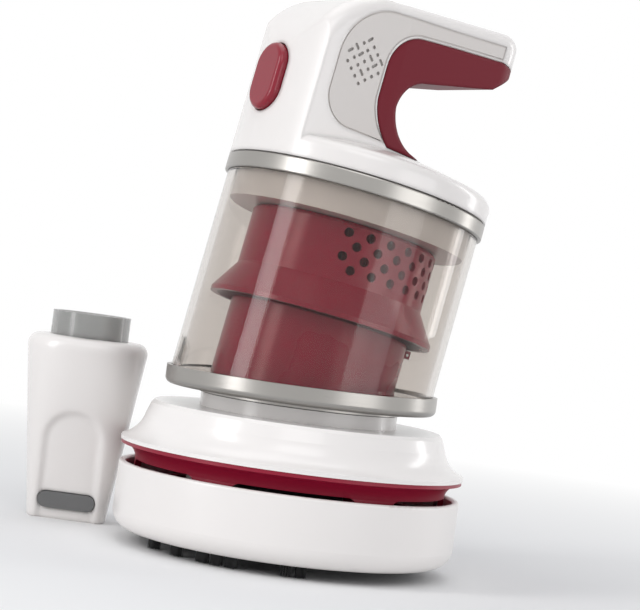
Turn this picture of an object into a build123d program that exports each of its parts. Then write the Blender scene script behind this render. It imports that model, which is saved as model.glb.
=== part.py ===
# Keyboard vacuum cleaner: a leaning hand unit with a hooked handle, a clear dust cup and a round
# brush head that stands flat on the desk, with a crevice nozzle standing beside it.
# Millimetres. +Z up from the desk, +X towards the open end of the handle, origin under the head's axis.
import os
from math import cos, degrees, radians, sin, tan

from build123d import *

os.makedirs("parts", exist_ok=True)

# Fits
GAP = 0.3  # seat clearance between pieces that touch
RUN = 0.25  # clearance round a moving piece
FIT = 0.1  # slip fit between two still pieces

# Brush head, measured up from the desk
BRISTLE_DROP = 4.0  # bristle tips below the skirt
SKIRT_HEIGHT = 21.5
SKIRT_R = 55.0
SKIRT_WALL = 2.2
SKIRT_FOOT = 6.0  # radius of the skirt's rounded foot
RIM_LIFT = 6.7  # cover rim above the skirt
RIM_OUT = 0.3  # cover rim outside the skirt
RIM_EDGE = 1.2  # height of the cover's straight rim
COVER_HEIGHT = 13.6
CORNER_IN = 1.3  # cover top's corner inside the flare's start
COVER_WALL = 2.0
FLARE_IN = 6.9  # width of the concave flare, in from the rim
FLARE_DROP = 4.6  # drop from the cover's top to the flare
NECK_R = 31.8
NECK_HEIGHT = 4.2
NECK_WALL = 2.0
RED_WALL = 1.8
FLARE_ROUND = 5.0  # radius of the slotted ring's concave flare, which ends flush with the skirt
SLOT_COUNT = 6
SLOT_ANGLE = 46.0
SLOT_HEIGHT = 7.0
SLOT_ABOVE = 0.8  # slot's upper edge above the skirt's rim
PLATE_THICK = 2.5
MOUTH_R = 16.0
POST_R = 3.5
POST_IN = 10.0  # screw posts inside the circle of the bristles
SCREW_R = 1.4
SCREW_HEAD_R = 2.8
SCREW_HEAD = 1.5
CROSS_LENGTH = 2.6  # cross recess of the screws
CROSS_WIDTH = 0.6
SPIGOT_R = 15.0  # inlet spigot, outside
SPIGOT_WALL = 2.4
SPIGOT_DROP = 13.0  # spigot below the lower trim ring
SOCKET_WALL = 2.0

# Bristles
TUFT_IN = 6.0  # circle of the bristles inside the slotted ring
TUFT_ANGLES = (-62.0, -45.0, -31.0, -24.5, -18.0, 4.0, 10.0)  # from the strip's own zero
STRIP_ZERO = 237.0  # angle of the first strip's zero, about +Z from +X
TUFT_SIDE = 5  # strands along each side of a tuft
STRAND_PITCH = 0.62
STRAND_WIDTH = 0.38
BACKING = 1.6
BACKING_WIDTH = 5.0

# Hand unit, about an axis that leans back
LEAN = 10.0
CUP_IN_STEP = 1.1  # cup stands in from the upper ring
CUP_WALL = 2.2
CUP_LENGTH = 58.5  # along the lean, from the base plane to the upper trim ring
BASE_RING_OUT = 1.9  # lower ring outside the cup
BASE_RING_HEIGHT = 6.0
BASE_STEP_R = 32.8
BASE_STEP = 1.2
CUP_SEAT = 2.5  # depth of the cup's groove in the lower ring
FLOOR_THICK = 2.0
RISER_IN = 1.3  # red inlet riser inside the filter cage
RISER_WALL = 1.6
CAGE_IN = 6.0  # cage inside its flared lip
CAGE_WALL = 1.6
CAGE_TOP = -8.6  # cage heights are measured from the upper ring's lower edge
CONE_TOP = -27.6
LIP_Z = -38.7
LIP_GAP = 3.1  # cage lip to the cup's wall
LIP_THICK = 1.5
HOLE_R = 1.5
HOLE_ROWS = 4
HOLE_ROW_PITCH = 3.8
HOLE_STEP = 13.33  # angle between holes of a row
HOLE_COUNT = 19
COLLAR_GAP = 0.7  # collar to the cup's wall
COLLAR_WALL = 2.0
COLLAR_DROP = 8.3
COLLAR_PLATE = 2.0
AIR_R = 20.0
TRIM_HEIGHT = 5.2
SEAL_R = 0.75
SEAL_DEPTH = 1.45
CUP_LAND = 0.9  # step at the cup's top edge
SEAT_HALF = 9.2  # valve seat behind the riser's window
WINDOW_HALF = 6.0
WINDOW_TALL = 8.0
EAR_IN = 8.0
EAR_THICK = 1.2
PIN_R = 0.5
PIN_OUT = 1.1
BARREL_R = 0.95
FLAP_THICK = 0.8
FLAP_LENGTH = 10.5
PLEATS = 24
PLEAT_GAP = 2.0  # pleats to the cage's wall
PLEAT_DEEP = 6.0
LUG_OUT = 1.6
LUG_WIDE = 8.0
LUG_TURN = 30.0

# Housing and handle
BODY_R = 43.0  # housing, flush with the upper ring
BODY_WALL = 2.5
SHOULDER_Z = 13.3
DOME_Z = 18.0
TOP_Z = 63.5
BROW_BACK = 27.0  # where the front's curve meets the top, back from the front
BROW_Z = 36.5
HANDLE_TOP_Z = 71.3
GRIP_X = -7.2  # deepest point of the finger gap
GRIP_TOP_Z = 42.6
GRIP_END_Z = 50.3
RIM_ROUND = 4.0
SLAB_KINK_X = -10.0  # the sides taper from here to the handle's end
SLAB_HALF = 20.5  # half the width across the flat sides
HANDLE_END_X = 39.5
HANDLE_HALF = 14.2  # half the handle's width at its end
HANDLE_CORNER = 9.0
TOP_SHELL_R = 5.0
BUTTON_Z = 29.5
BUTTON_LENGTH = 22.0
BUTTON_WIDTH = 14.5
BUTTON_PROUD = 2.2
BUTTON_TRAVEL = 1.2
FLANGE_BACK = 1.2  # button's flange behind the wall
PORT_Z = 64.8
PORT_WIDE = 9.2
PORT_TALL = 3.4
PORT_DEEP = 8.0
PANEL_BACK = 9.8  # grey panel's front, back from the housing's front
SEAM = 0.5  # groove between the housing's shells
SEAM_X = -15.0  # front of the red C in side view
SEAM_LOW = 32.0  # the C's front edge is straight between these heights
SEAM_HIGH = 42.5
SEAM_TURN_X = -4.0  # where the front edge has turned into the seam under the handle's top
SEAM_TURN_Z = 55.4
SEAM_MID_X = 8.0
SEAM_MID_Z = 57.2
SEAM_REAR_X = 31.0
SEAM_REAR_Z = 60.2
CROWN_MID_X = 9.6  # upper edge of the grey panel
CROWN_MID_Z = 62.6
CROWN_REAR_Z = 65.4
CROWN_FRONT_Z = 59.8
SILL_Z = 18.3  # lower edge of the red C and the panels
VENT_BACK = 9.8  # middle of the vents, back from the panel's front
VENT_Z = 41.0
VENT_PITCH = 2.0
TRAY_Z = 16.5
TRAY_THICK = 2.0
CELL_X = -23.0
DECK_Z = 9.5
DECK_THICK = 1.4
MOTOR_R = 15.0
FAN_Z = -3.5
MOTOR_HEIGHT = 11.0
FAN_R = 26.0
FAN_HEIGHT = 7.0
BLADES = 9
SHAFT_R = 1.5
CELL_R = 8.5
CELL_LENGTH = 34.0
BOARD_TALL = 24.0
BOARD_WIDE = 24.0
BOARD_THICK = 1.6

# Crevice nozzle, standing on its mouth beside the head
NOZZLE_X = -46.0
NOZZLE_ASIDE = 8.0  # nozzle's axis past the skirt
NOZZLE_TURN = -32.0  # its flat side faces the front left
NOZZLE_LENGTH = 69.0
NOZZLE_TOP_W = 41.0
NOZZLE_TOP_D = 33.0
NOZZLE_TIP_W = 26.0
NOZZLE_TIP_D = 15.0
NOZZLE_WALL = 1.8
NOZZLE_NECK_R = 13.0
NOZZLE_NECK = 8.0
NOZZLE_NECK_WALL = 1.6
WINDOW_W = 19.0
WINDOW_H = 5.4

# Radii and places that follow
RIM_R = SKIRT_R + RIM_OUT
FLARE_R = RIM_R - FLARE_IN
COVER_TOP_R = FLARE_R - CORNER_IN
RED_R = SKIRT_R - FLARE_ROUND
TUFT_RING_R = RED_R - TUFT_IN
POST_RING_R = TUFT_RING_R - POST_IN
TRIM_R = BODY_R
CUP_R = BODY_R - CUP_IN_STEP
BASE_RING_R = CUP_R + BASE_RING_OUT
CUP_IN = CUP_R - CUP_WALL
COLLAR_R = CUP_IN - COLLAR_GAP
LIP_R = CUP_IN - LIP_GAP
CAGE_R = LIP_R - CAGE_IN
RISER_R = CAGE_R - RISER_IN
PLEAT_R = CAGE_R - CAGE_WALL - PLEAT_GAP
BROW_X = BROW_BACK - BODY_R
FLANGE_X = BODY_WALL + FLANGE_BACK - BODY_R
PANEL_X = PANEL_BACK - BODY_R
VENT_X = PANEL_X + VENT_BACK
NOZZLE_Y = SKIRT_R + NOZZLE_ASIDE

# Heights that follow
SKIRT_TOP = BRISTLE_DROP + SKIRT_HEIGHT
COVER_RIM = SKIRT_TOP + RIM_LIFT
COVER_TOP = COVER_RIM + COVER_HEIGHT
NECK_TOP = COVER_TOP + NECK_HEIGHT
BASE_FOOT = NECK_TOP + GAP + BASE_STEP
BASE_Z = BASE_FOOT + BASE_RING_HEIGHT
FLOOR_Z = BASE_Z - CUP_SEAT + FLOOR_THICK
FOOT_TOP = BRISTLE_DROP + SKIRT_WALL
RED_FOOT = FOOT_TOP + GAP
PLATE_TOP = RED_FOOT + PLATE_THICK
SPIGOT_FOOT = BASE_FOOT - BASE_STEP - SPIGOT_DROP
SPIGOT_IN = SPIGOT_R - SPIGOT_WALL
BACKING_FOOT = RED_FOOT - BACKING

lean_axis = Vector(sin(radians(LEAN)), 0, cos(radians(LEAN)))
lean_x = Vector(cos(radians(LEAN)), 0, -sin(radians(LEAN)))
base_point = Vector(0, 0, BASE_Z)
ring_point = base_point + lean_axis * CUP_LENGTH
body = Plane(ring_point, x_dir=lean_x, z_dir=lean_axis)  # level of the upper ring's lower edge
side = Plane(ring_point, x_dir=lean_x, z_dir=(0, -1, 0))  # the plane of symmetry, x back and y up
body_axis = Axis(ring_point, lean_axis)
upright = Plane.XZ  # the same plane, upright
level = Plane.XY


def front_of(x):
    """Plane across the body axis at x, facing back, centred on the button."""
    return Plane(body.from_local_coords((x, 0, BUTTON_Z)), x_dir=lean_axis, z_dir=lean_x)


def rear_of(x):
    """The same at the handle's end, centred on the charging inlet."""
    return Plane(body.from_local_coords((x, 0, PORT_Z)), x_dir=(0, 1, 0), z_dir=lean_x)


def keep(piece, name):
    """Labels a finished piece and writes it."""
    piece.part.label = name
    export_step(piece.part, f"parts/{name}.step")


# The brush head, upright on the desk

# Soft skirt round the head, with a rounded foot and an inward lip
skirt_in = SKIRT_R - SKIRT_WALL
foot_in = SKIRT_FOOT - SKIRT_WALL
lip_in = TUFT_RING_R + BACKING_WIDTH / 2 + GAP
foot_mid = (SKIRT_R - SKIRT_FOOT, BRISTLE_DROP + SKIRT_FOOT)
with BuildPart() as bumper_skirt:
    with BuildSketch(upright) as skirt_profile:
        with BuildLine():
            Line((lip_in, BRISTLE_DROP), (foot_mid[0], BRISTLE_DROP))
            CenterArc(foot_mid, SKIRT_FOOT, -90, 90)
            Line((SKIRT_R, foot_mid[1]), (SKIRT_R, SKIRT_TOP))
            Line((SKIRT_R, SKIRT_TOP), (skirt_in, SKIRT_TOP))
            Line((skirt_in, SKIRT_TOP), (skirt_in, foot_mid[1]))
            CenterArc(foot_mid, foot_in, -90, 90)
            Line((foot_mid[0], FOOT_TOP), (lip_in, FOOT_TOP))
            Line((lip_in, FOOT_TOP), (lip_in, BRISTLE_DROP))
        make_face()
        fillet(skirt_profile.vertices().group_by(Axis.Y)[-1], SKIRT_WALL * 0.4)
    revolve(axis=Axis.Z)
keep(bumper_skirt, "bumper_skirt")

# Slotted ring inside the skirt, flared at the top to carry the cover
red_in = RED_R - RED_WALL
red_lip = RED_R + FLARE_ROUND
flare_z = COVER_RIM - RIM_EDGE - FLARE_ROUND
slot_top = SKIRT_TOP + SLOT_ABOVE
slot_mid = slot_top - SLOT_HEIGHT / 2
slot_end = SLOT_ANGLE / 2 - degrees(SLOT_HEIGHT / 2 / RED_R)
with BuildPart() as slotted_ring:
    with BuildSketch(upright):
        with BuildLine():
            Polyline((red_in, RED_FOOT), (RED_R, RED_FOOT), (RED_R, flare_z))
            CenterArc((red_lip, flare_z), FLARE_ROUND, 180, -90)
            Polyline(
                (red_lip, COVER_RIM - RIM_EDGE),
                (red_lip, COVER_RIM),
                (red_lip - COVER_WALL - 0.6, COVER_RIM),
                (red_in, flare_z + 1),
                (red_in, RED_FOOT),
            )
        make_face()
    revolve(axis=Axis.Z)
    with BuildSketch(level.offset(slot_mid - SLOT_HEIGHT / 2)):
        with PolarLocations(0, SLOT_COUNT):
            far = SKIRT_R * tan(radians(slot_end))
            Polygon((0, 0), (SKIRT_R, -far), (SKIRT_R, far), align=None)
    extrude(amount=SLOT_HEIGHT, mode=Mode.SUBTRACT)
    for slot in range(SLOT_COUNT):
        for turn in (-slot_end, slot_end):
            angle = radians(slot * 360 / SLOT_COUNT + turn)
            out = Vector(cos(angle), sin(angle), 0)
            with BuildSketch(Plane(out * (RED_R - 5) + Vector(0, 0, slot_mid), z_dir=out)):
                Circle(SLOT_HEIGHT / 2)
            extrude(amount=10, mode=Mode.SUBTRACT)
keep(slotted_ring, "slotted_ring")

# White cover with the neck on top, a socket for the inlet and three screw posts inside
socket_in = SPIGOT_R + RUN
socket_out = socket_in + SOCKET_WALL
socket_foot = SPIGOT_FOOT - 3
shoulder_z = COVER_TOP - FLARE_DROP
with BuildPart() as head_cover:
    with BuildSketch(upright):
        with BuildLine():
            Polyline(
                (socket_in, NECK_TOP),
                (NECK_R, NECK_TOP),
                (NECK_R, COVER_TOP),
                (COVER_TOP_R - 1, COVER_TOP),
                (COVER_TOP_R, COVER_TOP - 1),
                (FLARE_R, shoulder_z),
            )
            ThreePointArc(
                (FLARE_R, shoulder_z),
                (FLARE_R + 2.5, (shoulder_z + COVER_RIM + RIM_EDGE) / 2 - 1),
                (RIM_R, COVER_RIM + RIM_EDGE),
            )
            Polyline(
                (RIM_R, COVER_RIM + RIM_EDGE),
                (RIM_R, COVER_RIM),
                (RIM_R - COVER_WALL, COVER_RIM),
            )
            ThreePointArc(
                (RIM_R - COVER_WALL, COVER_RIM),
                (FLARE_R + 0.7, (shoulder_z + COVER_RIM) / 2 - 1.5),
                (FLARE_R - COVER_WALL, shoulder_z),
            )
            Polyline(
                (FLARE_R - COVER_WALL, shoulder_z),
                (COVER_TOP_R - COVER_WALL - 0.4, COVER_TOP - COVER_WALL),
                (NECK_R - NECK_WALL, COVER_TOP - COVER_WALL),
                (NECK_R - NECK_WALL, NECK_TOP - NECK_WALL),
                (socket_out, NECK_TOP - NECK_WALL),
                (socket_out, socket_foot),
                (socket_in, socket_foot),
                (socket_in, NECK_TOP),
            )
        make_face()
    revolve(axis=Axis.Z)
    with BuildSketch(level.offset(PLATE_TOP)):
        with PolarLocations(POST_RING_R, 3, start_angle=60):
            Circle(POST_R)
    extrude(amount=COVER_TOP - COVER_WALL / 2 - PLATE_TOP)
    with BuildSketch(level.offset(PLATE_TOP)):
        with PolarLocations(POST_RING_R, 3, start_angle=60):
            Circle(SCREW_R)
    extrude(amount=10, mode=Mode.SUBTRACT)
keep(head_cover, "head_cover")

# Floor of the head with the suction mouth and its tube up to the socket
plate_r = red_in - GAP
with BuildPart() as mouth_plate:
    with BuildSketch(upright):
        Polygon(
            (MOUTH_R, RED_FOOT),
            (plate_r, RED_FOOT),
            (plate_r, PLATE_TOP),
            (MOUTH_R + SOCKET_WALL, PLATE_TOP),
            (MOUTH_R + SOCKET_WALL, socket_foot - GAP),
            (MOUTH_R, socket_foot - GAP),
            align=None,
        )
    revolve(axis=Axis.Z)
    with BuildSketch(level.offset(RED_FOOT)):
        with PolarLocations(POST_RING_R, 3, start_angle=60):
            Circle(SCREW_R)
    extrude(amount=PLATE_THICK, mode=Mode.SUBTRACT)
keep(mouth_plate, "mouth_plate")

# Three pan-head screws that hold the floor to the cover's posts
with BuildPart() as head_screws:
    with BuildSketch(level.offset(RED_FOOT - SCREW_HEAD)):
        with PolarLocations(POST_RING_R, 3, start_angle=60):
            Circle(SCREW_HEAD_R)
    extrude(amount=SCREW_HEAD)
    with BuildSketch(level.offset(RED_FOOT)):
        with PolarLocations(POST_RING_R, 3, start_angle=60):
            Circle(SCREW_R)
    extrude(amount=PLATE_THICK + 8)
    with BuildSketch(level.offset(RED_FOOT - SCREW_HEAD)):
        with PolarLocations(POST_RING_R, 3, start_angle=60):
            Rectangle(CROSS_LENGTH, CROSS_WIDTH)
            Rectangle(CROSS_WIDTH, CROSS_LENGTH)
    extrude(amount=SCREW_HEAD / 2 + 0.05, mode=Mode.SUBTRACT)
keep(head_screws, "head_screws")

# Tufted bristles in short curved backings under the floor, two rows of three
strip_sets = (TUFT_ANGLES[0:2], TUFT_ANGLES[2:5], TUFT_ANGLES[5:7])
tuft_half_angle = degrees(TUFT_SIDE * STRAND_PITCH / 2 / TUFT_RING_R) + 1.2
strand_top = BACKING_FOOT + BACKING / 2
for row in range(2):
    for part_no, angles in enumerate(strip_sets):
        zero = STRIP_ZERO + 180 * row
        first = zero + angles[0] - tuft_half_angle
        sweep_angle = angles[-1] - angles[0] + 2 * tuft_half_angle
        with BuildPart() as bristles:
            start = Plane(
                (0, 0, 0),
                x_dir=(cos(radians(first)), sin(radians(first)), 0),
                z_dir=(sin(radians(first)), -cos(radians(first)), 0),
            )
            with BuildSketch(start):
                with Locations((TUFT_RING_R, BACKING_FOOT + BACKING / 2)):
                    Rectangle(BACKING_WIDTH, BACKING)
            revolve(axis=Axis.Z, revolution_arc=sweep_angle)
            for tuft in angles:
                turn = radians(zero + tuft)
                centre = Vector(cos(turn), sin(turn), 0) * TUFT_RING_R
                with BuildSketch(Plane(centre, x_dir=(cos(turn), sin(turn), 0))):
                    with GridLocations(STRAND_PITCH, STRAND_PITCH, TUFT_SIDE, TUFT_SIDE):
                        Rectangle(STRAND_WIDTH, STRAND_WIDTH)
                extrude(amount=strand_top)
        keep(bristles, f"bristles_{'front' if row == 0 else 'rear'}_{part_no + 1}")

# The dust cup and its lower ring, which lift off the head together

# Brushed ring under the cup, closed by a floor with a hole for the inlet; the cup's foot sinks into it
cup_under = CUP_LENGTH + CUP_SEAT + 2 * CUP_R * sin(radians(LEAN))  # far enough to be cut level
with BuildPart() as cup_seat:
    with BuildSketch(body.offset(-cup_under)):
        Circle(CUP_R + FIT)
    extrude(amount=cup_under)
    split(bisect_by=level.offset(BASE_Z - CUP_SEAT), keep=Keep.TOP)
with BuildPart() as base_ring:
    with BuildSketch(upright) as ring_profile:
        Polygon(
            (socket_in, BASE_FOOT - BASE_STEP),
            (BASE_STEP_R, BASE_FOOT - BASE_STEP),
            (BASE_STEP_R, BASE_FOOT),
            (BASE_RING_R, BASE_FOOT),
            (BASE_RING_R, BASE_Z),
            (socket_in, BASE_Z),
            align=None,
        )
        rim_low = ring_profile.vertices().sort_by(Axis.X)[-2:].sort_by(Axis.Y)[0]
        fillet(rim_low, 2.0)
    revolve(axis=Axis.Z)
    add(cup_seat.part, mode=Mode.SUBTRACT)
keep(base_ring, "base_ring")

# Clear cup, a leaning tube with a level floor; its top edge stands inside the upper ring
with BuildPart() as cup_hollow:
    with BuildSketch(body.offset(-cup_under)):
        Circle(CUP_IN)
    extrude(amount=cup_under + TRIM_HEIGHT)
    split(bisect_by=level.offset(FLOOR_Z), keep=Keep.TOP)
with BuildPart() as dust_cup:
    with BuildSketch(body.offset(-cup_under)):
        Circle(CUP_R)
    extrude(amount=cup_under - RUN)
    with BuildSketch(body.offset(-cup_under)):
        Circle(CUP_R - CUP_LAND)
    extrude(amount=cup_under + TRIM_HEIGHT - GAP)
    split(bisect_by=level.offset(BASE_Z - CUP_SEAT), keep=Keep.TOP)
    add(cup_hollow.part, mode=Mode.SUBTRACT)
    with BuildSketch(level.offset(BASE_Z - CUP_SEAT)):
        Circle(SPIGOT_R + FIT)
    extrude(amount=FLOOR_THICK, mode=Mode.SUBTRACT)
keep(dust_cup, "dust_cup")

# Red riser: a spigot through the cup's floor, a wide chamber above it and a flat valve seat at the back
riser_top = LIP_Z - GAP
seat_x = RISER_R + 0.3
with BuildPart() as riser_hollow:
    with BuildSketch(body.offset(-cup_under)):
        Circle(RISER_R - RISER_WALL)
    extrude(amount=cup_under + riser_top - RISER_WALL)
    split(bisect_by=level.offset(FLOOR_Z + RISER_WALL), keep=Keep.TOP)
with BuildPart() as inlet_riser:
    with BuildSketch(body.offset(-cup_under)):
        Circle(RISER_R)
    extrude(amount=cup_under + riser_top)
    with BuildSketch(side):
        with Locations((seat_x - 4, riser_top - 10)):
            Rectangle(8, 20)
    extrude(amount=SEAT_HALF, both=True)
    split(bisect_by=level.offset(FLOOR_Z), keep=Keep.TOP)
    add(riser_hollow.part, mode=Mode.SUBTRACT)
    with BuildSketch(side):
        with Locations((seat_x - 5, riser_top - 7.5)):
            Rectangle(20, WINDOW_TALL)
    extrude(amount=WINDOW_HALF, both=True, mode=Mode.SUBTRACT)
    with BuildSketch(side):
        with Locations((seat_x + 0.9, riser_top - 1.8)):
            Rectangle(2.6, 2.6)
    extrude(amount=EAR_IN + EAR_THICK, both=True)
    with BuildSketch(side):
        with Locations((seat_x + 1.2, riser_top - 1.8)):
            Rectangle(2.4, 3.2)
    extrude(amount=EAR_IN, both=True, mode=Mode.SUBTRACT)
    with BuildSketch(level.offset(SPIGOT_FOOT)):
        Circle(SPIGOT_R)
    extrude(amount=FLOOR_Z + RISER_WALL - SPIGOT_FOOT)
    with BuildSketch(level.offset(SPIGOT_FOOT)):
        Circle(SPIGOT_IN)
    extrude(amount=FLOOR_Z + RISER_WALL - SPIGOT_FOOT, mode=Mode.SUBTRACT)
    with BuildSketch(upright):
        with Locations((SPIGOT_R, SPIGOT_FOOT + 5)):
            Rectangle(2 * SEAL_DEPTH, 2 * SEAL_R)
    revolve(axis=Axis.Z, mode=Mode.SUBTRACT)
    with BuildSketch(side):
        with Locations((seat_x + PIN_OUT, riser_top - 1.8)):
            Circle(PIN_R)
    extrude(amount=EAR_IN + EAR_THICK, both=True, mode=Mode.SUBTRACT)
keep(inlet_riser, "inlet_riser")

# Rubber ring in the spigot's groove
with BuildPart() as inlet_seal:
    with BuildSketch(upright):
        with Locations((SPIGOT_R + 0.1 - SEAL_R, SPIGOT_FOOT + 5)):
            Circle(SEAL_R)
    revolve(axis=Axis.Z)
keep(inlet_seal, "inlet_seal")

# Valve flap on its pin behind the riser's window
with BuildPart() as flap_valve:
    with BuildSketch(side):
        with Locations((seat_x + PIN_OUT, riser_top - 1.8)):
            Circle(BARREL_R)
        with Locations((seat_x + GAP + FLAP_THICK / 2, riser_top - 1.8 - FLAP_LENGTH / 2)):
            Rectangle(FLAP_THICK, FLAP_LENGTH)
        with Locations((seat_x + PIN_OUT, riser_top - 1.8)):
            Circle(PIN_R + 0.05, mode=Mode.SUBTRACT)
    extrude(amount=EAR_IN - GAP, both=True)
keep(flap_valve, "flap_valve")

with BuildPart() as flap_pin:
    with BuildSketch(side):
        with Locations((seat_x + PIN_OUT, riser_top - 1.8)):
            Circle(PIN_R)
    extrude(amount=EAR_IN + EAR_THICK, both=True)
keep(flap_pin, "flap_pin")

# The filter, hung from the collar by a quarter-turn mouth

# Red cage: perforated tube, flared skirt, closed floor and three lugs above the collar's plate
cage_in = CAGE_R - CAGE_WALL
plate_top = -COLLAR_DROP + COLLAR_PLATE
neck_r = AIR_R - GAP
lug_foot = plate_top + 0.2
with BuildPart() as filter_cage:
    with BuildSketch(side):
        with BuildLine():
            Polyline(
                (neck_r - 2, lug_foot + 1.5),
                (neck_r, lug_foot + 1.5),
                (neck_r, CAGE_TOP),
                (CAGE_R - 1, CAGE_TOP),
                (CAGE_R, CAGE_TOP - 1),
                (CAGE_R, CONE_TOP),
                (LIP_R, LIP_Z + LIP_THICK),
                (LIP_R, LIP_Z),
                (LIP_R - 2, LIP_Z),
                (cage_in, CONE_TOP - 2),
                (0, CONE_TOP - 2),
                (0, CONE_TOP - 0.4),
                (cage_in, CONE_TOP - 0.4),
                (cage_in, CAGE_TOP - CAGE_WALL),
                (neck_r - 2, CAGE_TOP - CAGE_WALL),
                (neck_r - 2, lug_foot + 1.5),
            )
        make_face()
    revolve(axis=body_axis)
    hole_spots = []
    for row in range(HOLE_ROWS):
        height = CAGE_TOP - 3.4 - row * HOLE_ROW_PITCH
        for hole in range(HOLE_COUNT):
            turn = radians((hole - (HOLE_COUNT - 1) / 2 + 0.5 * (row % 2)) * HOLE_STEP)
            out = Vector(cos(turn), sin(turn), 0)
            spot = Plane(out * CAGE_R + Vector(0, 0, height), z_dir=out)
            hole_spots.append(body.location * spot.location)
    with Locations(*hole_spots):
        Cylinder(HOLE_R, 4 * CAGE_WALL, mode=Mode.SUBTRACT)
    with BuildSketch(body.offset(lug_foot)):
        with PolarLocations(AIR_R, 3):
            Rectangle(2 * LUG_OUT, LUG_WIDE)
        Circle(neck_r - 2, mode=Mode.SUBTRACT)
    extrude(amount=1.5)
keep(filter_cage, "filter_cage")

# Pleated paper ring inside the cage
with BuildPart() as filter_pleats:
    with BuildSketch(body.offset(CONE_TOP - 0.4)):
        points = []
        for fold in range(2 * PLEATS):
            turn = radians(fold * 180 / PLEATS)
            reach = PLEAT_R if fold % 2 == 0 else PLEAT_R - PLEAT_DEEP
            points.append((reach * cos(turn), reach * sin(turn)))
        Polygon(*points, align=None)
        Circle(PLEAT_R - PLEAT_DEEP - 2, mode=Mode.SUBTRACT)
    extrude(amount=CAGE_TOP - CAGE_WALL - CONE_TOP + 0.4)
keep(filter_pleats, "filter_pleats")

# The hand unit's lower end, which lifts out of the cup

# White collar with the plate that the filter hangs from, flanged inside the housing
deck_z = DECK_Z
body_in = BODY_R - BODY_WALL
with BuildPart() as collar:
    with BuildSketch(side):
        Polygon(
            (AIR_R, -COLLAR_DROP),
            (COLLAR_R, -COLLAR_DROP),
            (COLLAR_R, deck_z - 2),
            (body_in - 0.1, deck_z - 2),
            (body_in - 0.1, deck_z),
            (COLLAR_R - COLLAR_WALL, deck_z),
            (COLLAR_R - COLLAR_WALL, plate_top),
            (AIR_R, plate_top),
            align=None,
        )
    revolve(axis=body_axis)
    with BuildSketch(body.offset(-COLLAR_DROP)):
        with PolarLocations(AIR_R, 3, start_angle=LUG_TURN):
            Rectangle(2 * LUG_OUT + 0.8, LUG_WIDE + 1)
    extrude(amount=COLLAR_PLATE, mode=Mode.SUBTRACT)
keep(collar, "collar")

# Brushed upper ring, which turns to lock the cup
with BuildPart() as lock_ring:
    with BuildSketch(side) as lock_profile:
        Polygon(
            (CUP_R - CUP_LAND + RUN, 0),
            (TRIM_R, 0),
            (TRIM_R, TRIM_HEIGHT),
            (CUP_R - CUP_LAND + RUN, TRIM_HEIGHT),
            align=None,
        )
        fillet(lock_profile.vertices().sort_by(Axis(ring_point, lean_x))[-2:], 0.6)
    revolve(axis=body_axis)
keep(lock_ring, "lock_ring")

# Deck that carries the motor, on the collar's flange
with BuildPart() as motor_deck:
    with BuildSketch(body.offset(deck_z)):
        Circle(COLLAR_R - 1)
        Circle(MOTOR_R + 0.1, mode=Mode.SUBTRACT)
        with PolarLocations(COLLAR_R - 8, 8):
            Circle(3.4, mode=Mode.SUBTRACT)
    extrude(amount=DECK_THICK)
keep(motor_deck, "motor_deck")

# Motor can with a flange on the deck
motor_foot = FAN_Z + FAN_HEIGHT + 1
with BuildPart() as motor:
    with BuildSketch(side):
        Polygon(
            (SHAFT_R + 0.05, motor_foot),
            (MOTOR_R, motor_foot),
            (MOTOR_R, deck_z + DECK_THICK),
            (MOTOR_R + 3, deck_z + DECK_THICK),
            (MOTOR_R + 3, deck_z + DECK_THICK + 1.2),
            (MOTOR_R, deck_z + DECK_THICK + 1.2),
            (MOTOR_R, motor_foot + MOTOR_HEIGHT),
            (0, motor_foot + MOTOR_HEIGHT),
            (0, motor_foot + MOTOR_HEIGHT - 2),
            (SHAFT_R + 0.05, motor_foot + MOTOR_HEIGHT - 2),
            align=None,
        )
    revolve(axis=body_axis)
keep(motor, "motor")

# Shaft and bladed fan
with BuildPart() as motor_shaft:
    with BuildSketch(body.offset(FAN_Z)):
        Circle(SHAFT_R)
    extrude(amount=motor_foot + MOTOR_HEIGHT - 2.1 - FAN_Z)
keep(motor_shaft, "motor_shaft")

with BuildPart() as impeller:
    with BuildSketch(body.offset(FAN_Z + FAN_HEIGHT - 1.4)):
        Circle(FAN_R)
    extrude(amount=1.4)
    with BuildSketch(body.offset(FAN_Z)):
        Circle(5)
    extrude(amount=FAN_HEIGHT - 1)
    with BuildSketch(body.offset(FAN_Z + 0.6)):
        with PolarLocations(0, BLADES):
            with Locations(Location((FAN_R * 0.6, 0), 25)):
                Rectangle(FAN_R * 0.66, 1.1)
    extrude(amount=FAN_HEIGHT - 1.6)
    with BuildSketch(body.offset(FAN_Z)):
        Circle(SHAFT_R)
    extrude(amount=FAN_HEIGHT, mode=Mode.SUBTRACT)
keep(impeller, "impeller")

# The housing and its hooked handle

# Outer and inner forms: a low drum under a slab that is shaped in side view and in plan
drum_z = TRIM_HEIGHT + GAP


def on_crown(edge):
    """Picks the edges where the handle's top and brow meet its sides and end."""
    middle = body.to_local_coords(edge.center())
    slope = (HANDLE_TOP_Z - TOP_Z) / (HANDLE_END_X - BROW_X)
    along_top = abs(middle.Z - TOP_Z - slope * (middle.X - BROW_X)) < 0.4
    outside = abs(middle.Y) > 5 or middle.X > HANDLE_END_X - 9
    on_brow = middle.Z > BROW_Z + 8.5 and middle.X < BROW_X - 4 and abs(middle.Y) > SLAB_HALF - 5.5
    return (along_top and outside) or on_brow


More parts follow.
